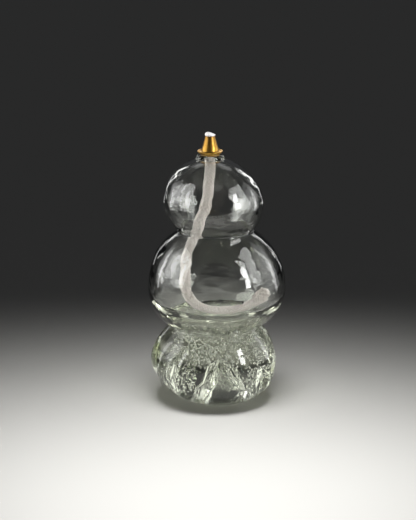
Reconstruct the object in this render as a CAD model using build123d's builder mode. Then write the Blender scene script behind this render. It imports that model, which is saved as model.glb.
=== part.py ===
from build123d import *

import math
import os
from dataclasses import dataclass

# Hand-blown oil lamp: a hollow glass vessel, a solid glass base fused under it, a brass
# wick holder dropped into the mouth, and a round cotton wick. The vessel is one blown
# piece, drawn as three sections: the bowl, the crown over its waist, and the mouth.
# Millimetres. +Z is up, z = 0 is the flat of the foot, and x = y = 0 is the axis of
# the large bulb. Blown glass is never quite straight: the sections wander off
# that axis along X, and the mouth ends up a few millimetres to the left.

# ---- glass base ----
FOOT_RADIUS = 16.7
BASE_RADIUS = 41.0
FOOT_TO_BASE_GIRTH = 29.5
BASE_GIRTH_TO_JOINT = 21.7
JOINT_RADIUS = 29.2

# ---- the air bubble trapped in the base ----
BUBBLE_OFFSET = 2.2
BUBBLE_FLOOR = 6.5
BUBBLE_BELLY_HEIGHT = 6.5
BUBBLE_BELLY_RADIUS = 13.5
BUBBLE_HEIGHT = 19.0

# ---- large bulb, outside ----
BULB_RADIUS = 44.65
JOINT_TO_BULB_GIRTH = 25.6
BULB_GIRTH_TO_WAIST = 37.3
WAIST_RADIUS = 24.3

# ---- small upper bulb, outside ----
CROWN_RADIUS = 32.5
WAIST_TO_CROWN_GIRTH = 17.7
CROWN_GIRTH_TO_LIP = 30.0

# ---- glass thickness ----
BOWL_FLOOR_THICKNESS = 8.8
BOWL_FLOOR_SHARE = 0.3487
BULB_WALL = 4.5
WAIST_WALL = 4.0
CROWN_WALL = 3.0

# ---- mouth ----
MOUTH_CLEARANCE = 0.2
LIP_SECTION_RADIUS = 2.1
LIP_LAND_DEPTH = 0.25
LIP_OVER_SKIN = 0.84
SHOULDER_DEPTH = 1.6
MOUTH_SECTION_DEPTH = 6.9

# ---- brass drip dish ----
SEAT_GAP = 0.03
DISH_RIM_RADIUS = 8.15
DISH_NECK_WALL = 0.55
DISH_UNDERSIDE_SLOPE = 43.6
DISH_RIM_HEIGHT = 0.6
DISH_RIM_WIDTH = 0.7
DISH_RIM_TOP_WIDTH = 0.35

# ---- brass wick cone ----
PRESS_GAP = 0.01
CONE_FOOT_RADIUS = 5.35
CONE_TOP_RADIUS = 3.07
CONE_HEIGHT = 10.0
CONE_TOP_WALL = 0.5
CONE_FLARE = 0.9
TAIL_WALL = 0.55
TAIL_OVERHANG = 0.4

# ---- cotton wick ----
WICK_RADIUS = 3.25
WICK_TAIL_CLEARANCE = 0.65
WICK_ENTRY_GAP = 0.6
WICK_GRIP_GAP = 0.05
WICK_TUFT_GAP = 0.15
WICK_TUFT_RADIUS = 3.3
WICK_TUFT_HEIGHT = 2.7
WICK_TUFT_SHOULDER = 1.6
WICK_TUFT_TOP_RADIUS = 2.0

# How round each half of a bulb is: 2 is an ellipse, more is fuller, less is more pointed.
BASE_LOW_FULLNESS = 2.35
BASE_HIGH_FULLNESS = 1.6
BULB_LOW_FULLNESS = 2.27
BULB_HIGH_FULLNESS = 2.07
BOWL_LOW_FULLNESS = 2.8
CROWN_LOW_FULLNESS = 1.6
CROWN_HIGH_FULLNESS = 1.92

# Loft sections in each half of a bulb. The bowl's nearly flat floor needs more of them.
FORM_STEPS = 6
BOWL_INSIDE_STEPS = 8

# How far each section's centre stands off the axis along X.
FOOT_LEAN = 1.3
BASE_LEAN = -2.4
JOINT_LEAN = -1.0
WAIST_LEAN = -1.1
CROWN_LEAN = -2.3
MOUTH_LEAN = -4.5

# ---- heights that follow ----
BASE_GIRTH_Z = FOOT_TO_BASE_GIRTH
JOINT_Z = BASE_GIRTH_Z + BASE_GIRTH_TO_JOINT
BULB_GIRTH_Z = JOINT_Z + JOINT_TO_BULB_GIRTH
WAIST_Z = BULB_GIRTH_Z + BULB_GIRTH_TO_WAIST
CROWN_GIRTH_Z = WAIST_Z + WAIST_TO_CROWN_GIRTH
LIP_Z = CROWN_GIRTH_Z + CROWN_GIRTH_TO_LIP

# ---- radii that follow, from the wick outwards ----
TAIL_BORE = WICK_RADIUS + WICK_TAIL_CLEARANCE
TAIL_RADIUS = TAIL_BORE + TAIL_WALL
DISH_NECK_RADIUS = TAIL_RADIUS + DISH_NECK_WALL
MOUTH_RADIUS = DISH_NECK_RADIUS + MOUTH_CLEARANCE
LIP_CENTRE_RADIUS = MOUTH_RADIUS + LIP_SECTION_RADIUS - LIP_LAND_DEPTH
LIP_OUTER_RADIUS = LIP_CENTRE_RADIUS + LIP_SECTION_RADIUS
# The bulb's skin meets the rolled lip a little below the middle of the roll.
CROWN_TOP_Z = LIP_Z - LIP_OVER_SKIN
SHOULDER_Z = CROWN_TOP_Z - SHOULDER_DEPTH
BOWL_FLOOR_Z = JOINT_Z + BOWL_FLOOR_THICKNESS
BOWL_INSIDE_RADIUS = BULB_RADIUS - BULB_WALL
# The flat of the bowl's floor keeps its share of the bowl's inside radius.
BOWL_FLOOR_RADIUS = BOWL_FLOOR_SHARE * BOWL_INSIDE_RADIUS
MOUTH_SECTION_Z = LIP_Z - MOUTH_SECTION_DEPTH

LEAN_STATIONS = [
    (0.0, FOOT_LEAN),
    (BASE_GIRTH_Z, BASE_LEAN),
    (JOINT_Z, JOINT_LEAN),
    (BULB_GIRTH_Z, 0.0),
    (WAIST_Z, WAIST_LEAN),
    (CROWN_GIRTH_Z, CROWN_LEAN),
    (LIP_Z, MOUTH_LEAN),
]


def lean(height):
    """Where the axis of the glass stands in X at a height."""
    for (low, x_low), (high, x_high) in zip(LEAN_STATIONS, LEAN_STATIONS[1:]):
        if height <= high:
            return x_low + (x_high - x_low) * (height - low) / (high - low)
    return MOUTH_LEAN


@dataclass
class Bulb:
    """A round glass form: a girth with a rounded half below it and one above it."""

    low_z: float
    low_radius: float
    girth_z: float
    girth_radius: float
    high_z: float
    high_radius: float
    low_fullness: float
    high_fullness: float

    def radius(self, height):
        if height < self.girth_z:
            end_z, end_radius, fullness = self.low_z, self.low_radius, self.low_fullness
        else:
            end_z, end_radius, fullness = self.high_z, self.high_radius, self.high_fullness
        reach = (1 - (end_radius / self.girth_radius) ** fullness) ** (1 / fullness)
        part = abs(height - self.girth_z) / abs(end_z - self.girth_z) * reach
        return self.girth_radius * (1 - part**fullness) ** (1 / fullness)

    def heights(self, steps):
        """Section heights, closer together towards both ends, where the form turns in."""
        turns = [math.sin(math.radians(90 * k / steps)) for k in range(1, steps + 1)]
        low = [self.girth_z - (self.girth_z - self.low_z) * t for t in reversed(turns)]
        high = [self.girth_z + (self.high_z - self.girth_z) * t for t in turns]
        return low + [self.girth_z] + high


base_form = Bulb(
    0.0, FOOT_RADIUS, BASE_GIRTH_Z, BASE_RADIUS, JOINT_Z, JOINT_RADIUS,
    BASE_LOW_FULLNESS, BASE_HIGH_FULLNESS,
)
bulb_outside = Bulb(
    JOINT_Z, JOINT_RADIUS, BULB_GIRTH_Z, BULB_RADIUS, WAIST_Z, WAIST_RADIUS,
    BULB_LOW_FULLNESS, BULB_HIGH_FULLNESS,
)
crown_outside = Bulb(
    WAIST_Z, WAIST_RADIUS, CROWN_GIRTH_Z, CROWN_RADIUS, CROWN_TOP_Z, LIP_OUTER_RADIUS,
    CROWN_LOW_FULLNESS, CROWN_HIGH_FULLNESS,
)
bulb_inside = Bulb(
    BOWL_FLOOR_Z, BOWL_FLOOR_RADIUS, BULB_GIRTH_Z, BOWL_INSIDE_RADIUS,
    WAIST_Z, WAIST_RADIUS - WAIST_WALL, BOWL_LOW_FULLNESS, BULB_HIGH_FULLNESS,
)
crown_inside = Bulb(
    WAIST_Z, WAIST_RADIUS - WAIST_WALL, CROWN_GIRTH_Z, CROWN_RADIUS - CROWN_WALL,
    SHOULDER_Z, MOUTH_RADIUS, CROWN_LOW_FULLNESS, CROWN_HIGH_FULLNESS,
)


# Each form is a loft through one circle at each of its section heights, on the leaning axis.

# ---- glass base: a solid gather with one teardrop of air sealed inside ----
bubble_plane = Plane(origin=(BUBBLE_OFFSET, 0, BUBBLE_FLOOR), x_dir=(1, 0, 0), z_dir=(0, -1, 0))
with BuildPart() as glass_base:
    for height in base_form.heights(FORM_STEPS):
        with BuildSketch(Plane.XY.offset(height)):
            with Locations((lean(height), 0)):
                Circle(base_form.radius(height))
    loft()
    with BuildSketch(bubble_plane):
        with BuildLine():
            Spline(
                (0, 0),
                (BUBBLE_BELLY_RADIUS, BUBBLE_BELLY_HEIGHT),
                (0, BUBBLE_HEIGHT),
                tangents=[(1, 0), (0, 1), (-0.35, 1)],
            )
            Line((0, BUBBLE_HEIGHT), (0, 0))
        make_face()
    revolve(axis=Axis((BUBBLE_OFFSET, 0, 0), (0, 0, 1)), mode=Mode.SUBTRACT)
glass_base.part.label = "glass_base"

# ---- glass bowl: the large hollow bulb that holds the oil, thick at its floor ----
with BuildPart() as glass_bowl:
    for height in bulb_outside.heights(FORM_STEPS):
        with BuildSketch(Plane.XY.offset(height)):
            with Locations((lean(height), 0)):
                Circle(bulb_outside.radius(height))
    loft()
    for height in bulb_inside.heights(BOWL_INSIDE_STEPS):
        with BuildSketch(Plane.XY.offset(height)):
            with Locations((lean(height), 0)):
                Circle(bulb_inside.radius(height))
    loft(mode=Mode.SUBTRACT)
glass_bowl.part.label = "glass_bowl"

# ---- glass crown and mouth: the small hollow bulb over the waist, with the rolled lip ----
lip_plane = Plane(origin=(MOUTH_LEAN, 0, LIP_Z), x_dir=(1, 0, 0), z_dir=(0, -1, 0))
mouth_axis = Axis((MOUTH_LEAN, 0, 0), (0, 0, 1))
with BuildPart() as upper_vessel:
    for height in crown_outside.heights(FORM_STEPS):
        with BuildSketch(Plane.XY.offset(height)):
            with Locations((lean(height), 0)):
                Circle(crown_outside.radius(height))
    loft()
    with BuildSketch(lip_plane):
        with Locations((LIP_CENTRE_RADIUS, 0)):
            Circle(LIP_SECTION_RADIUS)
    revolve(axis=mouth_axis)
    for height in crown_inside.heights(FORM_STEPS):
        with BuildSketch(Plane.XY.offset(height)):
            with Locations((lean(height), 0)):
                Circle(crown_inside.radius(height))
    loft(mode=Mode.SUBTRACT)
    with BuildSketch(Plane.XY.offset(SHOULDER_Z)):
        with Locations((MOUTH_LEAN, 0)):
            Circle(MOUTH_RADIUS)
    extrude(amount=LIP_Z + 2 * LIP_SECTION_RADIUS - SHOULDER_Z, mode=Mode.SUBTRACT)
with BuildPart() as glass_crown:
    add(upper_vessel.part)
    split(bisect_by=Plane.XY.offset(MOUTH_SECTION_Z), keep=Keep.BOTTOM)
glass_crown.part.label = "glass_crown"
with BuildPart() as glass_mouth:
    add(upper_vessel.part)
    split(bisect_by=Plane.XY.offset(MOUTH_SECTION_Z), keep=Keep.TOP)
glass_mouth.part.label = "glass_mouth"

# ---- drip dish: turned brass, its conical underside sits on the rolled lip ----
# The underside touches the roll where the two are tangent, which sets the dish's height.
slope = math.radians(DISH_UNDERSIDE_SLOPE)
underside_z_over_lip = LIP_Z + (LIP_SECTION_RADIUS + SEAT_GAP) / math.cos(slope)
DISH_NECK_Z = underside_z_over_lip - (LIP_CENTRE_RADIUS - DISH_NECK_RADIUS) * math.tan(slope)
DISH_EDGE_Z = DISH_NECK_Z + (DISH_RIM_RADIUS - DISH_NECK_RADIUS) * math.tan(slope)
DISH_RIM_Z = DISH_EDGE_Z + DISH_RIM_HEIGHT
DISH_FLOOR_Z = DISH_EDGE_Z
DISH_FLOOR_EDGE = DISH_RIM_RADIUS - DISH_RIM_WIDTH
brass_plane = Plane(origin=(MOUTH_LEAN, 0, 0), x_dir=(1, 0, 0), z_dir=(0, -1, 0))
with BuildPart() as drip_dish:
    with BuildSketch(brass_plane):
        with BuildLine():
            Polyline(
                (TAIL_RADIUS + PRESS_GAP, DISH_NECK_Z),
                (DISH_NECK_RADIUS, DISH_NECK_Z),
                (DISH_RIM_RADIUS, DISH_EDGE_Z),
                (DISH_RIM_RADIUS, DISH_RIM_Z),
                (DISH_RIM_RADIUS - DISH_RIM_TOP_WIDTH, DISH_RIM_Z),
                (DISH_FLOOR_EDGE, DISH_FLOOR_Z),
                (TAIL_RADIUS + PRESS_GAP, DISH_FLOOR_Z),
                close=True,
            )
        make_face()
    revolve(axis=mouth_axis)
drip_dish.part.label = "drip_dish"

# ---- wick cone: turned brass, its tail pressed through the dish ----
TAIL_END_Z = DISH_NECK_Z - TAIL_OVERHANG
CONE_FOOT_Z = DISH_FLOOR_Z + PRESS_GAP
CONE_TOP_Z = CONE_FOOT_Z + CONE_HEIGHT
CONE_TOP_BORE = CONE_TOP_RADIUS - CONE_TOP_WALL
with BuildPart() as wick_cone:
    with BuildSketch(brass_plane):
        with BuildLine():
            Polyline(
                (TAIL_BORE, TAIL_END_Z),
                (TAIL_RADIUS, TAIL_END_Z),
                (TAIL_RADIUS, CONE_FOOT_Z),
                (CONE_FOOT_RADIUS + CONE_FLARE, CONE_FOOT_Z),
                (CONE_FOOT_RADIUS, CONE_FOOT_Z + CONE_FLARE),
                (CONE_TOP_RADIUS, CONE_TOP_Z),
                (CONE_TOP_BORE, CONE_TOP_Z),
                (TAIL_BORE, CONE_FOOT_Z),
                close=True,
            )
        make_face()
    revolve(axis=mouth_axis)
wick_cone.part.label = "wick_cone"

# ---- wick: round braided cotton, gripped by the cone and loose in the vessel ----
# The route runs straight down from the holder, leans to the left through the waist,
# lies across the front of the bowl's floor and climbs the wall on the right.
WICK_TOP_Z = TAIL_END_Z + TAIL_OVERHANG
WICK_ROUTE = [
    (MOUTH_LEAN, 0.0, WICK_TOP_Z),
    (-4.5, 0.0, 148.0),
    (-6.5, -0.5, 132.5),
    (-12.5, -2.0, 115.0),
    (-18.5, -4.0, 100.0),
    (-21.8, -8.6, 85.0),
    (-18.1, -14.7, 72.1),
    (-6.4, -19.4, 64.15),
    (8.5, -20.2, 64.15),
    (21.4, -18.9, 68.0),
    (31.5, -16.0, 78.5),
]


def arc_radii(points):
    """The largest tangent arc that fits each corner of a route: 0.45 of its shorter run."""
    radii = []
    for before, corner, after in zip(points, points[1:], points[2:]):
        run_in = Vector(*corner) - Vector(*before)
        run_out = Vector(*after) - Vector(*corner)
        half_turn = math.radians(run_in.get_angle(run_out)) / 2
        radii.append(0.45 * min(run_in.length, run_out.length) / math.tan(half_turn))
    return radii


wick_radii = arc_radii(WICK_ROUTE)
with BuildPart() as wick:
    with BuildLine() as wick_path:
        FilletPolyline(*WICK_ROUTE, radius=wick_radii)
    with BuildSketch(Plane(origin=WICK_ROUTE[0], z_dir=wick_path.line % 0)):
        Circle(WICK_RADIUS)
    sweep()
    tube_volume = wick.part.volume
    with BuildSketch(brass_plane):
        with BuildLine():
            Polyline(
                (0, WICK_TOP_Z),
                (WICK_RADIUS, WICK_TOP_Z),
                (CONE_TOP_BORE - WICK_GRIP_GAP, WICK_TOP_Z + WICK_ENTRY_GAP),
                (CONE_TOP_BORE - WICK_GRIP_GAP, CONE_TOP_Z + WICK_TUFT_GAP),
                (WICK_TUFT_RADIUS, CONE_TOP_Z + 2 * WICK_TUFT_GAP),
                (WICK_TUFT_RADIUS, CONE_TOP_Z + WICK_TUFT_SHOULDER),
                (WICK_TUFT_TOP_RADIUS, CONE_TOP_Z + WICK_TUFT_HEIGHT),
                (0, CONE_TOP_Z + WICK_TUFT_HEIGHT),
                close=True,
            )
        make_face()
    revolve(axis=mouth_axis)
wick.part.label = "wick"

os.makedirs("parts", exist_ok=True)
export_step(glass_base.part, "parts/glass_base.step")
export_step(glass_bowl.part, "parts/glass_bowl.step")
export_step(glass_crown.part, "parts/glass_crown.step")
export_step(glass_mouth.part, "parts/glass_mouth.step")
export_step(drip_dish.part, "parts/drip_dish.step")
export_step(wick_cone.part, "parts/wick_cone.step")
export_step(wick.part, "parts/wick.step")

tube_length = sum(edge.length for edge in wick_path.edges())
print("wick arc radii", [round(radius, 1) for radius in wick_radii])
print("wick tube length", round(tube_length, 1))
section_volume = math.pi * WICK_RADIUS**2 * tube_length
print("wick tube volume over section x length", round(tube_volume / section_volume, 4))
print("dish rim z", round(DISH_RIM_Z, 2), "cone top z", round(CONE_TOP_Z, 2))
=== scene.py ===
import math
import random

import bpy
from mathutils import Matrix, Vector, noise


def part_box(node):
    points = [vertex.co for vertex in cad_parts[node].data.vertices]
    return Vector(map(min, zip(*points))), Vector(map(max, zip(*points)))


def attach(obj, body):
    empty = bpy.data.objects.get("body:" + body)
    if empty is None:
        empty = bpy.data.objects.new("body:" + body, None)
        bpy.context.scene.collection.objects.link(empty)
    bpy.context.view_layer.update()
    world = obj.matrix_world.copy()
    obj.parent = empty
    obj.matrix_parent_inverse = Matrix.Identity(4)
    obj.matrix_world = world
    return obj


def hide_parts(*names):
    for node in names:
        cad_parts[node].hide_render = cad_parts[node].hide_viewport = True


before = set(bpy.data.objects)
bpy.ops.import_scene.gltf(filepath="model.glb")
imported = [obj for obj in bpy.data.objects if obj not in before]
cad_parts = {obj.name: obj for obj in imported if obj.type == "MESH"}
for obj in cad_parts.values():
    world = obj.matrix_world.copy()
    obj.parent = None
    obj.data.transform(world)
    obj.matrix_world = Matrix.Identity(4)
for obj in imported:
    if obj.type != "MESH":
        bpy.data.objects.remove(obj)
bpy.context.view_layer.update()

# Camera and room: the lamp stands on a plain pale table top under soft studio light.
# The view looks down at it by about fifteen degrees from a metre away.
CAMERA_PLACE = Vector((-0.00585, -1.0, 0.363))
CAMERA_AIM = Vector((-0.00585, 0.0, 0.094))
CAMERA_LENS = 110.3


def linear(hex_colour):
    """An sRGB hex colour as linear red, green, blue and alpha."""
    out = []
    for start in (1, 3, 5):
        value = int(hex_colour[start : start + 2], 16) / 255
        out.append(value / 12.92 if value <= 0.04045 else ((value + 0.055) / 1.055) ** 2.4)
    return (*out, 1.0)


def add(tree, kind, settings=None, inputs=None, links=None):
    """Adds a node with its settings, its socket values and the links that feed it."""
    node = tree.nodes.new(kind)
    for name, value in (settings or {}).items():
        setattr(node, name, value)
    for name, value in (inputs or {}).items():
        node.inputs[name].default_value = value
    for name, source in (links or {}).items():
        tree.links.new(source, node.inputs[name])
    return node


def new_material(name):
    """An empty node material and its tree."""
    material = bpy.data.materials.new(name)
    material.use_nodes = True
    material.node_tree.nodes.clear()
    return material, material.node_tree


def aim(thing, place, target):
    """Puts a light or camera at a place, looking at a target."""
    thing.location = place
    thing.rotation_euler = (Vector(target) - Vector(place)).to_track_quat("-Z", "Y").to_euler()


bpy.ops.object.select_all(action="DESELECT")
camera = bpy.data.objects.new("camera", bpy.data.cameras.new("camera"))
bpy.context.scene.collection.objects.link(camera)
camera.data.lens = CAMERA_LENS
camera.data.clip_start = 0.05
aim(camera, CAMERA_PLACE, CAMERA_AIM)
bpy.context.scene.camera = camera

# Painted board: smooth matt off-white paint, so it shows only soft shading.
board_paint, tree = new_material("matt_white_board_paint")
place = add(tree, "ShaderNodeTexCoord")
grain = add(tree, "ShaderNodeTexNoise", inputs={"Scale": 900.0}, links={"Vector": place.outputs["Object"]})
grain_bump = add(
    tree, "ShaderNodeBump", inputs={"Strength": 0.05, "Distance": 0.0002}, links={"Height": grain.outputs["Fac"]}
)
surface = add(
    tree,
    "ShaderNodeBsdfPrincipled",
    inputs={"Base Color": linear("#C9C8C4"), "Roughness": 0.75, "Specular IOR Level": 0.3},
    links={"Normal": grain_bump.outputs["Normal"]},
)
add(tree, "ShaderNodeOutputMaterial", links={"Surface": surface.outputs["BSDF"]})
bpy.ops.mesh.primitive_circle_add(vertices=96, radius=3.0, fill_type="NGON", location=(0, 0, 0))
table_top = bpy.context.object
table_top.name = "table_top"
table_top.data.materials.append(board_paint)

ROOM_GREY = "#6A6B6D"
world = bpy.data.worlds.new("studio")
bpy.context.scene.world = world
world.use_nodes = True
world.node_tree.nodes["Background"].inputs["Color"].default_value = linear(ROOM_GREY)
world.node_tree.nodes["Background"].inputs["Strength"].default_value = 0.25

# Soft boxes round the lamp. One lights the floor alone, so that the pale floor falls into
# shade behind the lamp and the glass shows light edges, and one lights the brass alone.
# The two skies fill the bubbles and the wick, and make no mirror glare on the glass.
# Each has a name, place, target, width, height, watts, spread in degrees, and what it lights.
SOFTBOXES = [
    ("floor_box", (0.0, -0.20, 0.66), (0, -0.17, 0.0), 0.34, 0.24, 0.80, 50, "floor"),
    ("left_pane", (-0.84, -0.44, 0.42), (0, 0, 0.10), 0.10, 0.60, 0.8, 140, "lamp"),
    ("window_low", (0.56, -0.40, 0.22), (0, 0, 0.10), 0.12, 0.20, 0.8, 140, "lamp"),
    ("window_high", (0.54, -0.38, 0.47), (0, 0, 0.10), 0.12, 0.20, 0.8, 140, "lamp"),
    ("left_box", (-0.62, 0.02, 0.34), (0, 0, 0.10), 0.22, 0.44, 0.45, 140, "lamp"),
    ("left_sky", (-0.94, -0.20, 0.50), (0, 0, 0.08), 0.46, 0.90, 4.9, 140, "lamp"),
    ("right_sky", (0.94, -0.20, 0.50), (0, 0, 0.08), 0.46, 0.90, 4.9, 140, "lamp"),
    ("left_panel", (-0.55, 0.14, 0.20), (0, 0, 0.10), 0.40, 0.44, 0.30, 140, "lamp"),
    ("right_panel", (0.55, 0.14, 0.20), (0, 0, 0.10), 0.40, 0.44, 0.30, 140, "lamp"),
    ("left_strip", (-0.42, 0.16, 0.12), (0, 0, 0.10), 0.05, 0.30, 0.09, 140, "lamp"),
    ("right_strip", (0.42, 0.16, 0.12), (0, 0, 0.10), 0.05, 0.30, 0.09, 140, "lamp"),
    ("back_left_strip", (-0.30, 0.50, 0.24), (0, 0, 0.12), 0.06, 0.46, 0.065, 140, "lamp"),
    ("back_right_strip", (0.30, 0.50, 0.24), (0, 0, 0.12), 0.06, 0.46, 0.065, 140, "lamp"),
    ("top_back_box", (0.0, 0.40, 0.66), (0, 0, 0.12), 0.60, 0.16, 0.14, 140, "lamp"),
    ("brass_back_box", (0.0, 0.60, 0.42), (0, 0, 0.165), 0.60, 0.30, 0.7, 140, "brass"),
]
lit = {group: bpy.data.collections.new(group + "_lit") for group in ("floor", "lamp", "brass")}
lit["floor"].objects.link(table_top)
for name, spot, target, width, height, watts, spread, receiver in SOFTBOXES:
    light = bpy.data.lights.new(name, "AREA")
    light.shape = "RECTANGLE"
    light.size = width
    light.size_y = height
    light.energy = watts
    light.spread = math.radians(spread)
    softbox = bpy.data.objects.new(name, light)
    bpy.context.scene.collection.objects.link(softbox)
    softbox.visible_camera = False
    softbox.visible_glossy = not name.endswith("sky")
    softbox.light_linking.receiver_collection = lit[receiver]
    aim(softbox, spot, target)
bpy.context.scene.view_settings.view_transform = "Standard"

# Wick: a round cotton rope of sixteen yarns, braided over each other, off-white.
# The cone squeezes it, its lit end bushes out above, and the rest hangs in the vessel.
MOUTH_X = -0.0045
WICK_RADIUS = 0.00325
CONE_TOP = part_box("wick_cone")[1][2]
WICK_TIP = CONE_TOP + 0.0027
GRIP_RADIUS = 0.00245
TUFT_RADIUS = 0.0034
WICK_ROUTE = [
    (MOUTH_X, 0.0, WICK_TIP),
    (MOUTH_X, 0.0, 0.1627),
    (MOUTH_X, 0.0, 0.1480),
    (-0.0065, -0.0005, 0.1325),
    (-0.0125, -0.0020, 0.1150),
    (-0.0185, -0.0040, 0.1000),
    (-0.0218, -0.0086, 0.0850),
    (-0.0181, -0.0147, 0.0721),
    (-0.0064, -0.0194, 0.06415),
    (0.0085, -0.0202, 0.06415),
    (0.0214, -0.0189, 0.0680),
    (0.0315, -0.0160, 0.0785),
]
YARNS = 8
BRAID_PITCH = 0.0165
YARN_RELIEF = 0.00052
UNEVENNESS = 0.05
TIP_SLOPE = 0.28
TIP_FUZZ = 0.00028
TIP_DROP = 0.0004
ROUND_WICK = 72
WICK_STEP = 0.00036


def smooth_step(low, high, value):
    """Rises from 0 at low to 1 at high."""
    part = min(1.0, max(0.0, (value - low) / (high - low)))
    return part * part * (3 - 2 * part)


def even_points(line, step):
    """The points of a line again, a fixed step apart along it."""
    out = [line[0].copy()]
    left = step
    for start, end in zip(line, line[1:]):
        length = (end - start).length
        while length > left:
            start = start + (end - start) * (left / length)
            out.append(start.copy())
            length = (end - start).length
            left = step
        left -= length
    out.append(line[-1].copy())
    return out


route_curve = bpy.data.curves.new("wick_route", "CURVE")
route_curve.dimensions = "3D"
route_curve.resolution_u = 24
spline = route_curve.splines.new("NURBS")
spline.points.add(len(WICK_ROUTE) - 1)
for control, spot in zip(spline.points, WICK_ROUTE):
    control.co = (*spot, 1.0)
spline.order_u = 3
spline.use_endpoint_u = True
route_object = bpy.data.objects.new("wick_route", route_curve)
route_mesh = bpy.data.meshes.new_from_object(route_object)
wick_line = even_points([v.co.copy() for v in route_mesh.vertices], WICK_STEP)
bpy.data.objects.remove(route_object)
bpy.data.meshes.remove(route_mesh)
wick_length = sum((b - a).length for a, b in zip(wick_line, wick_line[1:]))


def wick_radius(along):
    """The rope's radius: bushy at the lit end, squeezed in the cone, full below, ragged at the cut end."""
    above_cone = WICK_TIP - CONE_TOP
    bush = TUFT_RADIUS * math.sqrt(max(0.0, 1 - (1 - min(1.0, along / 0.0019)) ** 2))
    grip = smooth_step(above_cone - 0.0008, above_cone + 0.0002, along)
    free = smooth_step(above_cone + 0.0102, above_cone + 0.0132, along)
    body = GRIP_RADIUS + (WICK_RADIUS - GRIP_RADIUS) * free
    radius = bush + (body - bush) * grip
    to_end = wick_length - along
    return radius * (1 - 0.35 * (1 - smooth_step(0.0, 0.0016, to_end)) ** 2)


def braid_height(angle, along):
    """How far the yarns stand out: two sets wind opposite ways and pass over and under by turns."""
    turn = 2 * math.pi * along / BRAID_PITCH
    one = YARNS * (angle + turn) / (2 * math.pi)
    other = YARNS * (angle - turn) / (2 * math.pi)
    crown_one = 1 - (2 * (one % 1.0) - 1) ** 2
    crown_other = 1 - (2 * (other % 1.0) - 1) ** 2
    over = math.cos(math.pi * math.floor(one)) * math.cos(math.pi * math.floor(other))
    blend = 0.5 + 0.5 * over
    return crown_one * blend + crown_other * (1 - blend)


side = Vector((1, 0, 0))
verts, faces, depth_values = [], [], []
for index, spot in enumerate(wick_line):
    before = wick_line[max(index - 1, 0)]
    after = wick_line[min(index + 1, len(wick_line) - 1)]
    ahead = (after - before).normalized()
    side = (side - ahead * side.dot(ahead)).normalized()
    across = ahead.cross(side)
    along = index * WICK_STEP
    base_radius = wick_radius(along)
    relief = YARN_RELIEF * smooth_step(0.0015, 0.004, along) * smooth_step(0.0, 0.002, wick_length - along)
    for step in range(ROUND_WICK):
        angle = 2 * math.pi * step / ROUND_WICK
        height = braid_height(angle, along)
        wander = noise.noise(spot * 260 + Vector((math.cos(angle), math.sin(angle), 0)) * 1.3)
        radius = base_radius * (1 + UNEVENNESS * wander) + relief * (height - 0.6)
        out = side * math.cos(angle) + across * math.sin(angle)
        point = spot + out * radius
        if spot.z > CONE_TOP + 0.0003:
            rise = smooth_step(CONE_TOP + 0.0003, WICK_TIP, spot.z)
            fuzz = noise.noise(point * 1400)
            point.z += rise * (TIP_FUZZ * fuzz - TIP_SLOPE * (point.x - MOUTH_X) - TIP_DROP)
        verts.append(point)
        depth_values.append(height)
ring_count = len(wick_line)
for ring in range(ring_count - 1):
    for step in range(ROUND_WICK):
        a = ring * ROUND_WICK + step
        b = ring * ROUND_WICK + (step + 1) % ROUND_WICK
        faces.append((a, b, b + ROUND_WICK, a + ROUND_WICK))
top_pole, end_pole = len(verts), len(verts) + 1
verts += [sum(verts[:ROUND_WICK], Vector()) / ROUND_WICK, sum(verts[-ROUND_WICK:], Vector()) / ROUND_WICK]
verts[end_pole] += ahead * 0.0004
depth_values += [1.0, 1.0]
last = (ring_count - 1) * ROUND_WICK
for step in range(ROUND_WICK):
    following = (step + 1) % ROUND_WICK
    faces.append((following, step, top_pole))
    faces.append((last + step, last + following, end_pole))
wick_mesh = bpy.data.meshes.new("cotton_wick")
wick_mesh.from_pydata(verts, [], faces)
wick_mesh.update()
depth = wick_mesh.attributes.new("yarn_height", "FLOAT", "POINT")
depth.data.foreach_set("value", depth_values)
cotton_wick = bpy.data.objects.new("cotton_wick", wick_mesh)
bpy.context.scene.collection.objects.link(cotton_wick)
bpy.context.view_layer.objects.active = cotton_wick
cotton_wick.select_set(True)
bpy.ops.object.mode_set(mode="EDIT")
bpy.ops.mesh.select_all(action="SELECT")
bpy.ops.mesh.normals_make_consistent(inside=False)
bpy.ops.object.mode_set(mode="OBJECT")
bpy.ops.object.shade_smooth()
cotton_wick.select_set(False)

# Undyed cotton yarn: off-white, quite matt, with a soft fibre sheen. The grooves
# between yarns are painted darker, as painted shade with a little dust, and the fresh tip is whiter.
cotton, tree = new_material("undyed_cotton_braid")
place = add(tree, "ShaderNodeTexCoord")
groove = add(tree, "ShaderNodeAttribute", {"attribute_name": "yarn_height"})
# Fibre fuzz: cotton fibres are 0.02 mm, drawn as 0.25 mm so that they show.
fibre = add(
    tree, "ShaderNodeTexNoise", inputs={"Scale": 4000.0, "Detail": 3.0}, links={"Vector": place.outputs["Object"]}
)
# Uneven yarn colour, about 4 mm from patch to patch.
patches = add(
    tree, "ShaderNodeTexNoise", inputs={"Scale": 250.0, "Detail": 2.0}, links={"Vector": place.outputs["Object"]}
)
# Painted shade: darker colour in the grooves between yarns, paler on the crowns, partly dust and partly shade
# painted in.
groove_shade_and_dust_colour = add(tree, "ShaderNodeMix", {"data_type": "RGBA"}, links={"Factor": groove.outputs["Fac"]})
groove_shade_and_dust_colour.inputs[6].default_value = linear("#B9AEA8")
groove_shade_and_dust_colour.inputs[7].default_value = linear("#FBF5F1")
patch_colour = add(tree, "ShaderNodeMix", {"data_type": "RGBA", "blend_type": "MULTIPLY"}, {"Factor": 0.5})
patch_tone = add(tree, "ShaderNodeValToRGB", links={"Fac": patches.outputs["Fac"]})
patch_tone.color_ramp.elements[0].color = linear("#EBE4E0")
patch_tone.color_ramp.elements[1].color = linear("#FFFFFF")
tree.links.new(groove_shade_and_dust_colour.outputs[2], patch_colour.inputs[6])
tree.links.new(patch_tone.outputs["Color"], patch_colour.inputs[7])
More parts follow.
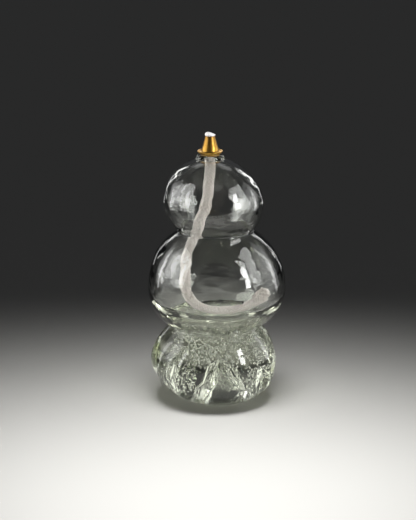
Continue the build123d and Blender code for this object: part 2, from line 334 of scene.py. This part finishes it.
split = add(tree, "ShaderNodeSeparateXYZ", links={"Vector": place.outputs["Object"]})
at_tip = add(
    tree,
    "ShaderNodeMapRange",
    inputs={"From Min": CONE_TOP - 0.0002, "From Max": CONE_TOP + 0.0008},
    links={"Value": split.outputs["Z"]},
)
tip_colour = add(tree, "ShaderNodeMix", {"data_type": "RGBA"}, links={"Factor": at_tip.outputs["Result"]})
tree.links.new(patch_colour.outputs[2], tip_colour.inputs[6])
tip_colour.inputs[7].default_value = linear("#FBFAF8")
cotton_bump = add(
    tree, "ShaderNodeBump", inputs={"Strength": 0.35, "Distance": 0.0002}, links={"Height": fibre.outputs["Fac"]}
)
surface = add(
    tree,
    "ShaderNodeBsdfPrincipled",
    inputs={"Roughness": 0.92, "Specular IOR Level": 0.25, "Sheen Weight": 0.3, "Sheen Roughness": 0.5},
    links={"Base Color": tip_colour.outputs[2], "Normal": cotton_bump.outputs["Normal"]},
)
add(tree, "ShaderNodeOutputMaterial", links={"Surface": surface.outputs["BSDF"]})
wick_mesh.materials.append(cotton)

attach(cotton_wick, "wick")
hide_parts("wick")
lit["lamp"].objects.link(cotton_wick)

# Glass body: one blown piece on a solid gather, clear soda-lime glass.
# It is built as the blower builds it, ring by ring: up the outside from the foot,
# over the rolled lip, and down the inside to the bowl's floor.
GLASS_SIDES = 120
JOINT_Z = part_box("glass_base")[1][2]
BULB_Z = 0.0768
WAIST_Z = 0.1141
CROWN_Z = 0.1318
LIP_Z = 0.1618
LIP_ROLL = 0.0021
LIP_OVERHANG = 0.00025
MOUTH_BORE = 0.0052
LIP_MIDDLE = MOUTH_BORE + LIP_ROLL - LIP_OVERHANG
# Each form has a radius at its girth and at its low and high ends, and a power for each
# half that says how full it is. The first three are the outside, the last two the inside.
BASE = dict(girth_z=0.0295, girth=0.0410, low_z=0.0, low=0.0167, high_z=JOINT_Z, high=0.0292, low_n=2.35, high_n=1.6)
BULB = dict(
    girth_z=BULB_Z, girth=0.04465, low_z=JOINT_Z, low=0.0292, high_z=WAIST_Z, high=0.0243, low_n=2.27, high_n=2.07
)
CROWN = dict(
    girth_z=CROWN_Z, girth=0.0325, low_z=WAIST_Z, low=0.0243, high_z=0.16096, high=0.00925, low_n=1.6, high_n=1.92
)
BOWL = dict(
    girth_z=BULB_Z, girth=0.04015, low_z=0.0600, low=0.0140, high_z=WAIST_Z, high=0.0203, low_n=2.8, high_n=2.07
)
DOME = dict(
    girth_z=CROWN_Z, girth=0.0295, low_z=WAIST_Z, low=0.0203, high_z=0.15936, high=MOUTH_BORE, low_n=1.6, high_n=1.92
)
LEANS = [
    (0.0, 0.0013),
    (BASE["girth_z"], -0.0024),
    (JOINT_Z, -0.0010),
    (BULB_Z, 0.0),
    (WAIST_Z, -0.0011),
    (CROWN_Z, -0.0023),
    (LIP_Z, MOUTH_X),
]


def lean(height):
    """How far the glass has wandered off its axis at a height."""
    for (low, x_low), (high, x_high) in zip(LEANS, LEANS[1:]):
        if height <= high:
            return x_low + (x_high - x_low) * smooth_step(low, high, height)
    return MOUTH_X


def form_radius(form, height):
    """The radius of one rounded form at a height, or 0 past its poles."""
    part = "low" if height < form["girth_z"] else "high"
    power = form[part + "_n"]
    reach = (1 - (form[part] / form["girth"]) ** power) ** (1 / power)
    share = abs(height - form["girth_z"]) / abs(form[part + "_z"] - form["girth_z"]) * reach
    return form["girth"] * max(0.0, 1 - share**power) ** (1 / power)


def blended(forms, height, softness):
    """The largest of several forms' radii, with the crease between two rounded off."""
    radii = sorted((form_radius(form, height) for form in forms), reverse=True)
    first, second = radii[0], radii[1]
    near = max(0.0, 1 - (first - second) / softness)
    return first + near * near * softness / 4


def heights_between(low, high, count):
    """Heights that crowd together towards both ends."""
    return [low + (high - low) * 0.5 * (1 - math.cos(math.pi * k / count)) for k in range(count + 1)]


OUTSIDE_CREASE = 0.0014
INSIDE_CREASE = 0.0040
outline = [(0.006, 0.00002), (0.012, 0.00001), (0.0155, 0.0)]
outside_heights = heights_between(0.00004, JOINT_Z, 46) + heights_between(JOINT_Z, WAIST_Z, 46)[1:]
outside_heights += heights_between(WAIST_Z, 0.16085, 40)[1:]
outline += [(blended((BASE, BULB, CROWN), z, OUTSIDE_CREASE), z) for z in outside_heights]
for degrees in range(-24, 184, 13):
    turn = math.radians(degrees)
    outline.append((LIP_MIDDLE + LIP_ROLL * math.cos(turn), LIP_Z + LIP_ROLL * math.sin(turn)))
outline.append((MOUTH_BORE, 0.1601))
inside_heights = heights_between(0.0597, DOME["high_z"], 96)
inside_heights.reverse()
inside_outline = [(blended((BOWL, DOME), z, INSIDE_CREASE), z) for z in inside_heights]
outline += [(radius, z) for radius, z in inside_outline if radius > 0.003]


def spun(name, profile, sides, centre_x=0.0, inwards=False):
    """A profile of radius and height, pole to pole, spun all round and closed."""
    bpy.ops.object.select_all(action="DESELECT")
    mesh = bpy.data.meshes.new(name)
    corners = [(centre_x + radius, 0.0, height) for radius, height in profile]
    mesh.from_pydata(corners, [(k, k + 1) for k in range(len(corners) - 1)], [])
    piece = bpy.data.objects.new(name, mesh)
    bpy.context.scene.collection.objects.link(piece)
    bpy.context.view_layer.objects.active = piece
    piece.select_set(True)
    bpy.ops.object.mode_set(mode="EDIT")
    bpy.ops.mesh.select_all(action="SELECT")
    bpy.ops.mesh.spin(steps=sides, angle=2 * math.pi, center=(centre_x, 0, 0), axis=(0, 0, 1))
    bpy.ops.mesh.select_all(action="SELECT")
    bpy.ops.mesh.remove_doubles(threshold=0.000002)
    bpy.ops.mesh.normals_make_consistent(inside=inwards)
    bpy.ops.object.mode_set(mode="OBJECT")
    piece.select_set(False)
    return piece


outline = [(0.0, 0.00002)] + outline + [(0.0, BOWL["low_z"])]
glass_body = spun("glass_body", outline, GLASS_SIDES)
for vertex in glass_body.data.vertices:
    vertex.co.x += lean(vertex.co.z)

# The blower's hand shows as slow waves in the wall, up to a quarter of a millimetre.
WALL_WAVE = 0.00028
waved = []
for vertex in glass_body.data.vertices:
    spot = vertex.co
    free = smooth_step(0.0005, 0.006, spot.z) * (1 - smooth_step(0.150, 0.158, spot.z))
    wave = noise.noise(Vector((spot.x * 55, spot.y * 55, spot.z * 95)))
    wave += 0.5 * noise.noise(Vector((spot.x * 130, spot.y * 130, spot.z * 210)) + Vector((7, 3, 1)))
    waved.append(spot + vertex.normal * (WALL_WAVE * wave * free))
for vertex, spot in zip(glass_body.data.vertices, waved):
    vertex.co = spot

# A teardrop of air is trapped in the gather, and a core of fine seed bubbles round it.
# Each is a void in the same piece of glass, so its faces look inwards, into the air.
TEAR_FLOOR = 0.0065
TEAR_BELLY = 0.0138
TEAR_HEIGHT = 0.0190
TEAR_X = 0.0022
TEAR_DIMPLE = 0.035
TEAR_SWAY = 0.10


def tear_profile(share):
    """The teardrop's radius and height, from its round floor up to its drawn point."""
    height = TEAR_HEIGHT * share
    belly = math.sin(math.pi * min(1.0, share) ** 0.62)
    return TEAR_BELLY * max(0.0, belly) ** 0.95, TEAR_FLOOR + height


tear_outline = [tear_profile(0.5 * (1 - math.cos(math.pi * k / 44))) for k in range(45)]
air_teardrop = spun("air_teardrop", tear_outline, 72, TEAR_X, inwards=True)
# Its skin is dimpled and a little lopsided, as hot air leaves it.
for vertex in air_teardrop.data.vertices:
    spot = vertex.co
    dimple = noise.noise(spot * 110) + 0.3 * noise.noise(spot * 260)
    vertex.co = spot + Vector((spot.x - TEAR_X, spot.y, 0)) * (TEAR_DIMPLE * dimple)
    vertex.co.x += TEAR_SWAY * (spot.z - TEAR_FLOOR) * math.sin(spot.z * 160)

# Seed bubbles: soda on the gather fizzed into fine seeds, thick near the joint, with
# clear glass left round the teardrop. The larger ones are rounder meshes.
seed_luck = random.Random(41)
CORE_RADIUS = 0.0255
CORE_LOW = 0.0060
CORE_HIGH = JOINT_Z + 0.0045
SEED_COUNT = 3600
FINE_SEEDS = (0.00026, 0.00034, 0.00042, 0.00050, 0.00060)
ROUND_FROM = 0.00062
CLEAR_HEIGHT = 0.0265
CLEAR_REACH = 0.0135
DISC_COUNT = 700
DISC_RADIUS = 0.0165


def inside_tear(spot):
    """True where a seed would touch the teardrop."""
    share = (spot.z - TEAR_FLOOR + 0.0008) / (TEAR_HEIGHT + 0.0016)
    if not 0 < share < 1:
        return False
    reach = tear_profile(share)[0] * 1.12 + 0.0012
    return math.hypot(spot.x - TEAR_X, spot.y) < reach


def core_reach(height):
    """How wide the seeded core is at a height: a rounded drum, narrower at its foot."""
    share = (height - CORE_LOW) / (CORE_HIGH - CORE_LOW)
    return CORE_RADIUS * min(1.0, 0.88 + 0.4 * share) * (1 - max(0.0, share - 0.8) * 0.6)


CORE_MIDDLE = 0.0035
SEED_GAP = 0.00006
SEED_STRETCH = 1.35
SEED_CELL = 0.0034
seeds = []
seed_cells = {}


def add_seed(spot, size):
    """Adds a seed where it stays clear of the teardrop and of every seed before it."""
    cell = tuple(int(part // SEED_CELL) for part in spot)
    for step in range(27):
        beside = (cell[0] + step % 3 - 1, cell[1] + step // 3 % 3 - 1, cell[2] + step // 9 - 1)
        for other, other_size in seed_cells.get(beside, ()):
            if (other - spot).length < (size + other_size) * SEED_STRETCH + SEED_GAP:
                return
    if not inside_tear(spot):
        seed_cells.setdefault(cell, []).append((spot, size))
        seeds.append((spot, size))


# A string of larger bubbles rises along the core's left edge, a row of them lies just
# under the joint, and a few stray ones lie low right.
for link in range(11):
    height = 0.0330 + 0.0019 * link
    add_seed(Vector((-0.0215 + 0.0005 * math.sin(link * 2.1), -0.004, height)), 0.00042 + 0.00020 * (link % 3))
for near_joint in range(40):
    turn = math.radians(seed_luck.uniform(-160, -20))
    height = seed_luck.uniform(0.0435, 0.0490)
    out = seed_luck.uniform(0.0215, 0.0245)
    add_seed(Vector((out * math.cos(turn) + 0.002, out * math.sin(turn), height)), seed_luck.uniform(0.0005, 0.0011))
for stray in range(26):
    turn = math.radians(seed_luck.uniform(-95, 15))
    height = seed_luck.uniform(0.012, 0.032)
    add_seed(Vector((0.029 * math.cos(turn), 0.029 * math.sin(turn), height)), seed_luck.uniform(0.0004, 0.0011))
while len(seeds) < SEED_COUNT:
    height = seed_luck.uniform(CORE_LOW, CORE_HIGH)
    reach = core_reach(height)
    turn = seed_luck.uniform(0, 2 * math.pi)
    out = reach * math.sqrt(seed_luck.random())
    spot = Vector((out * math.cos(turn) + CORE_MIDDLE, out * math.sin(turn), height))
    size = seed_luck.choice(FINE_SEEDS)
    if seed_luck.random() < 0.03 + 0.10 * (height > 0.040):
        size = seed_luck.uniform(0.0007, 0.0012)
    in_clear_glass = spot.z < CLEAR_HEIGHT and abs(spot.x - TEAR_X) < CLEAR_REACH
    if not in_clear_glass:
        add_seed(spot, size)
# More lie crowded in a disc just under the bowl's floor, where the two gathers were joined.
for _ in range(DISC_COUNT):
    turn = seed_luck.uniform(0, 2 * math.pi)
    out = DISC_RADIUS * math.sqrt(seed_luck.random())
    height = seed_luck.uniform(JOINT_Z + 0.0015, JOINT_Z + 0.0062)
    add_seed(Vector((out * math.cos(turn), out * math.sin(turn), height)), seed_luck.uniform(0.00025, 0.00045))

# Swirls: thin threads of air, drawn round as the gather was turned, low on the left.
THREADS = 15
THREAD_SIDES = 6
THREAD_STEPS = 26
THREAD_THIN = 0.00008
THREAD_THICK = 0.00034
THREAD_FLATNESS = 2.4
thread_verts, thread_faces = [], []
for thread in range(THREADS):
    middle = Vector((-0.0205 + seed_luck.uniform(-0.004, 0.004), -0.012 + seed_luck.uniform(-0.006, 0.004), 0.0215))
    reach = 0.0035 + 0.00075 * thread
    first_turn = math.radians(seed_luck.uniform(60, 130))
    sweep = math.radians(seed_luck.uniform(80, 150))
    start = len(thread_verts)
    for step in range(THREAD_STEPS + 1):
        part = step / THREAD_STEPS
        turn = first_turn + sweep * part
        section = THREAD_THIN + THREAD_THICK * math.sin(math.pi * part)
        wander = 0.0006 * math.sin(5 * turn + thread)
        outward = Vector((math.cos(turn), 0.0, math.sin(turn)))
        middle_line = middle + outward * (reach + wander)
        for side_step in range(THREAD_SIDES):
            around = 2 * math.pi * side_step / THREAD_SIDES
            deep = THREAD_FLATNESS * section * math.sin(around)
            thread_verts.append(middle_line + outward * (section * math.cos(around)) + Vector((0, deep, 0)))
    for step in range(THREAD_STEPS):
        for side_step in range(THREAD_SIDES):
            a = start + step * THREAD_SIDES + side_step
            b = start + step * THREAD_SIDES + (side_step + 1) % THREAD_SIDES
            thread_faces.append((a, b, b + THREAD_SIDES, a + THREAD_SIDES))
    thread_faces.append(tuple(start + k for k in range(THREAD_SIDES - 1, -1, -1)))
    last_ring = start + THREAD_STEPS * THREAD_SIDES
    thread_faces.append(tuple(last_ring + k for k in range(THREAD_SIDES)))
thread_mesh = bpy.data.meshes.new("air_threads")
thread_mesh.from_pydata(thread_verts, [], thread_faces)
thread_mesh.update()
air_threads = bpy.data.objects.new("air_threads", thread_mesh)
bpy.context.scene.collection.objects.link(air_threads)
bpy.context.view_layer.objects.active = air_threads
bpy.ops.object.select_all(action="DESELECT")
air_threads.select_set(True)
bpy.ops.object.mode_set(mode="EDIT")
bpy.ops.mesh.select_all(action="SELECT")
bpy.ops.mesh.normals_make_consistent(inside=True)
bpy.ops.object.mode_set(mode="OBJECT")

bpy.ops.object.select_all(action="DESELECT")
bpy.ops.mesh.primitive_ico_sphere_add(subdivisions=1, radius=1.0, location=(0, 0, 0))
one_seed = bpy.context.object
small_points = [v.co.copy() for v in one_seed.data.vertices]
small_faces = [tuple(reversed(p.vertices)) for p in one_seed.data.polygons]
bpy.data.objects.remove(one_seed)
bpy.ops.mesh.primitive_ico_sphere_add(subdivisions=2, radius=1.0, location=(0, 0, 0))
one_bubble = bpy.context.object
large_points = [v.co.copy() for v in one_bubble.data.vertices]
large_faces = [tuple(reversed(p.vertices)) for p in one_bubble.data.polygons]
bpy.data.objects.remove(one_bubble)
seed_verts, seed_faces = [], []
for spot, size in seeds:
    points, sides = (large_points, large_faces) if size > ROUND_FROM else (small_points, small_faces)
    start = len(seed_verts)
    stretch = seed_luck.uniform(0.85, SEED_STRETCH)
    spin = Matrix.Rotation(seed_luck.uniform(0, math.pi), 3, "Z")
    for point in points:
        turned = spin @ point
        seed_verts.append(spot + Vector((turned.x, turned.y, turned.z * stretch)) * size)
    seed_faces += [tuple(start + corner for corner in side) for side in sides]
seed_mesh = bpy.data.meshes.new("seeds")
seed_mesh.from_pydata(seed_verts, [], seed_faces)
seed_mesh.update()
seed_bubbles = bpy.data.objects.new("seeds", seed_mesh)
bpy.context.scene.collection.objects.link(seed_bubbles)

bpy.ops.object.select_all(action="DESELECT")
seed_bubbles.select_set(True)
air_threads.select_set(True)
air_teardrop.select_set(True)
glass_body.select_set(True)
bpy.context.view_layer.objects.active = glass_body
bpy.ops.object.join()
bpy.ops.object.shade_smooth()
glass_body.select_set(False)

# Soda-lime glass, blown and fire-polished: clear, mirror-smooth, faintly grey-green
# where it is thick. Its cords, streaks of slightly different melt, ripple the skin.
soda_glass, tree = new_material("fire_polished_soda_lime_glass")
place = add(tree, "ShaderNodeTexCoord")
# Cords run round the blown wall about 9 mm apart, drawn 0.02 mm deep.
cord_place = add(
    tree, "ShaderNodeMapping", inputs={"Scale": (38.0, 38.0, 110.0)}, links={"Vector": place.outputs["Object"]}
)
cords = add(
    tree,
    "ShaderNodeTexNoise",
    inputs={"Scale": 1.0, "Detail": 2.0, "Distortion": 0.6},
    links={"Vector": cord_place.outputs["Vector"]},
)
split = add(tree, "ShaderNodeSeparateXYZ", links={"Vector": place.outputs["Object"]})
# The thick base cooled slowly and is smoother than the thin bulbs above it.
thin_wall = add(
    tree,
    "ShaderNodeMapRange",
    inputs={"From Min": 0.045, "From Max": 0.065, "To Min": 0.15, "To Max": 0.6},
    links={"Value": split.outputs["Z"]},
)
cord_bump = add(
    tree,
    "ShaderNodeBump",
    inputs={"Distance": 0.0006},
    links={"Height": cords.outputs["Fac"], "Strength": thin_wall.outputs["Result"]},
)
surface = add(
    tree,
    "ShaderNodeBsdfPrincipled",
    inputs={
        "Base Color": linear("#FCFDFB"),
        "Roughness": 0.0,
        "IOR": 1.5,
        "Transmission Weight": 1.0,
    },
    links={"Normal": cord_bump.outputs["Normal"]},
)
depth_tint = add(tree, "ShaderNodeVolumeAbsorption", inputs={"Color": linear("#DDE3C2"), "Density": 10.0})
add(
    tree,
    "ShaderNodeOutputMaterial",
    links={"Surface": surface.outputs["BSDF"], "Volume": depth_tint.outputs["Volume"]},
)
glass_body.data.materials.clear()
glass_body.data.materials.append(soda_glass)
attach(glass_body, "glass")
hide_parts("glass_base", "glass_bowl", "glass_crown", "glass_mouth")
lit["lamp"].objects.link(glass_body)

# Brass wick holder: a turned dish and a tapered tube, polished and lightly lacquered.
# The tube's tail is pressed through the dish, and both lift out of the mouth together.
LATHE_STEPS = 96


def turned(name, profile, rounding):
    """A closed ring profile of radius and height, spun about the mouth's axis, with its corners rounded."""
    bpy.ops.object.select_all(action="DESELECT")
    mesh = bpy.data.meshes.new(name)
    corners = [(MOUTH_X + radius, 0.0, height) for radius, height in profile]
    edges = [(k, (k + 1) % len(corners)) for k in range(len(corners))]
    mesh.from_pydata(corners, edges, [])
    piece = bpy.data.objects.new(name, mesh)
    bpy.context.scene.collection.objects.link(piece)
    bpy.context.view_layer.objects.active = piece
    piece.select_set(True)
    bpy.ops.object.mode_set(mode="EDIT")
    bpy.ops.mesh.select_all(action="SELECT")
    bpy.ops.mesh.spin(
        steps=LATHE_STEPS, angle=2 * math.pi, center=(MOUTH_X, 0, 0), axis=(0, 0, 1), use_auto_merge=True
    )
    bpy.ops.mesh.select_all(action="SELECT")
    bpy.ops.mesh.remove_doubles(threshold=0.000005)
    bpy.ops.mesh.normals_make_consistent(inside=False)
    bpy.ops.object.mode_set(mode="OBJECT")
    bevel = piece.modifiers.new("rounding", "BEVEL")
    bevel.width = rounding
    bevel.segments = 4
    bevel.limit_method = "ANGLE"
    bevel.angle_limit = math.radians(25)
    bpy.ops.object.modifier_apply(modifier="rounding")
    bpy.ops.object.shade_smooth_by_angle(angle=math.radians(35))
    piece.select_set(False)
    return piece


dish_low, dish_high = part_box("drip_dish")
cone_low, cone_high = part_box("wick_cone")
RIM_RADIUS = (dish_high[0] - dish_low[0]) / 2
RIM_HEIGHT = 0.0006
NECK_RADIUS = 0.0050
TAIL_RADIUS = 0.00445
TAIL_BORE = 0.0039
dish_floor = dish_high[2] - RIM_HEIGHT
dish_profile = [
    (TAIL_RADIUS + 0.00001, dish_low[2]),
    (NECK_RADIUS, dish_low[2]),
    (RIM_RADIUS - 0.0002, dish_floor - 0.00015),
    (RIM_RADIUS, dish_high[2] - 0.0002),
    (RIM_RADIUS - 0.00022, dish_high[2]),
    (RIM_RADIUS - 0.0006, dish_high[2] - 0.0001),
    (RIM_RADIUS - 0.0010, dish_floor + 0.00002),
    (RIM_RADIUS - 0.0016, dish_floor - 0.0001),
    (TAIL_RADIUS + 0.00001, dish_floor - 0.0001),
]
brass_dish = turned("brass_dish", dish_profile, 0.00013)

CONE_FOOT = 0.00535
CONE_MOUTH = 0.00307
CONE_BORE = 0.00257
FLARE_REACH = 0.0012
FLARE_HEIGHT = 0.0013
cone_seat = dish_floor - 0.00009
flare = [
    (CONE_FOOT + FLARE_REACH * (1 - math.sin(turn)), dish_floor + FLARE_HEIGHT * (1 - math.cos(turn)))
    for turn in (math.radians(15 * k) for k in range(7))
]
cone_profile = [(TAIL_BORE, cone_low[2]), (TAIL_RADIUS, cone_low[2]), (TAIL_RADIUS, cone_seat)]
cone_profile += [(CONE_FOOT + FLARE_REACH, cone_seat)] + flare
cone_profile += [(CONE_MOUTH, cone_high[2] - 0.00002), (CONE_BORE, cone_high[2]), (TAIL_BORE, dish_floor)]
brass_cone = turned("brass_cone", cone_profile, 0.00008)

# Turned brass, machine polished: warm yellow, fine tool rings 0.15 mm apart round the
# axis, faint brown heat tint towards the flame end, and soft handling smudges.
turned_brass, tree = new_material("polished_turned_brass")
place = add(tree, "ShaderNodeTexCoord")
split = add(tree, "ShaderNodeSeparateXYZ", links={"Vector": place.outputs["Object"]})
smudges = add(
    tree, "ShaderNodeTexNoise", inputs={"Scale": 420.0, "Detail": 4.0}, links={"Vector": place.outputs["Object"]}
)
rings = add(
    tree,
    "ShaderNodeTexWave",
    {"wave_type": "BANDS", "bands_direction": "Z"},
    {"Scale": 1050.0, "Distortion": 0.6, "Detail": 2.0},
    {"Vector": place.outputs["Object"]},
)
heat = add(
    tree,
    "ShaderNodeMapRange",
    inputs={"From Min": CONE_TOP - 0.0080, "From Max": CONE_TOP, "To Min": 0.0, "To Max": 0.80},
    links={"Value": split.outputs["Z"]},
)
smudge_tone = add(tree, "ShaderNodeValToRGB", links={"Fac": smudges.outputs["Fac"]})
smudge_tone.color_ramp.elements[0].position = 0.35
smudge_tone.color_ramp.elements[0].color = linear("#C4943F")
smudge_tone.color_ramp.elements[1].position = 0.65
smudge_tone.color_ramp.elements[1].color = linear("#DBAF56")
heated = add(tree, "ShaderNodeMix", {"data_type": "RGBA"}, links={"Factor": heat.outputs["Result"]})
tree.links.new(smudge_tone.outputs["Color"], heated.inputs[6])
heated.inputs[7].default_value = linear("#9C7238")
gloss = add(
    tree,
    "ShaderNodeMapRange",
    inputs={"To Min": 0.30, "To Max": 0.44},
    links={"Value": smudges.outputs["Fac"]},
)
ring_bump = add(
    tree, "ShaderNodeBump", inputs={"Strength": 0.12, "Distance": 0.00004}, links={"Height": rings.outputs["Fac"]}
)
surface = add(
    tree,
    "ShaderNodeBsdfPrincipled",
    inputs={"Metallic": 1.0},
    links={
        "Base Color": heated.outputs[2],
        "Roughness": gloss.outputs["Result"],
        "Normal": ring_bump.outputs["Normal"],
    },
)
add(tree, "ShaderNodeOutputMaterial", links={"Surface": surface.outputs["BSDF"]})
for piece, node in ((brass_dish, "drip_dish"), (brass_cone, "wick_cone")):
    piece.data.materials.append(turned_brass)
    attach(piece, "holder")
    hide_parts(node)
    lit["lamp"].objects.link(piece)
    lit["brass"].objects.link(piece)
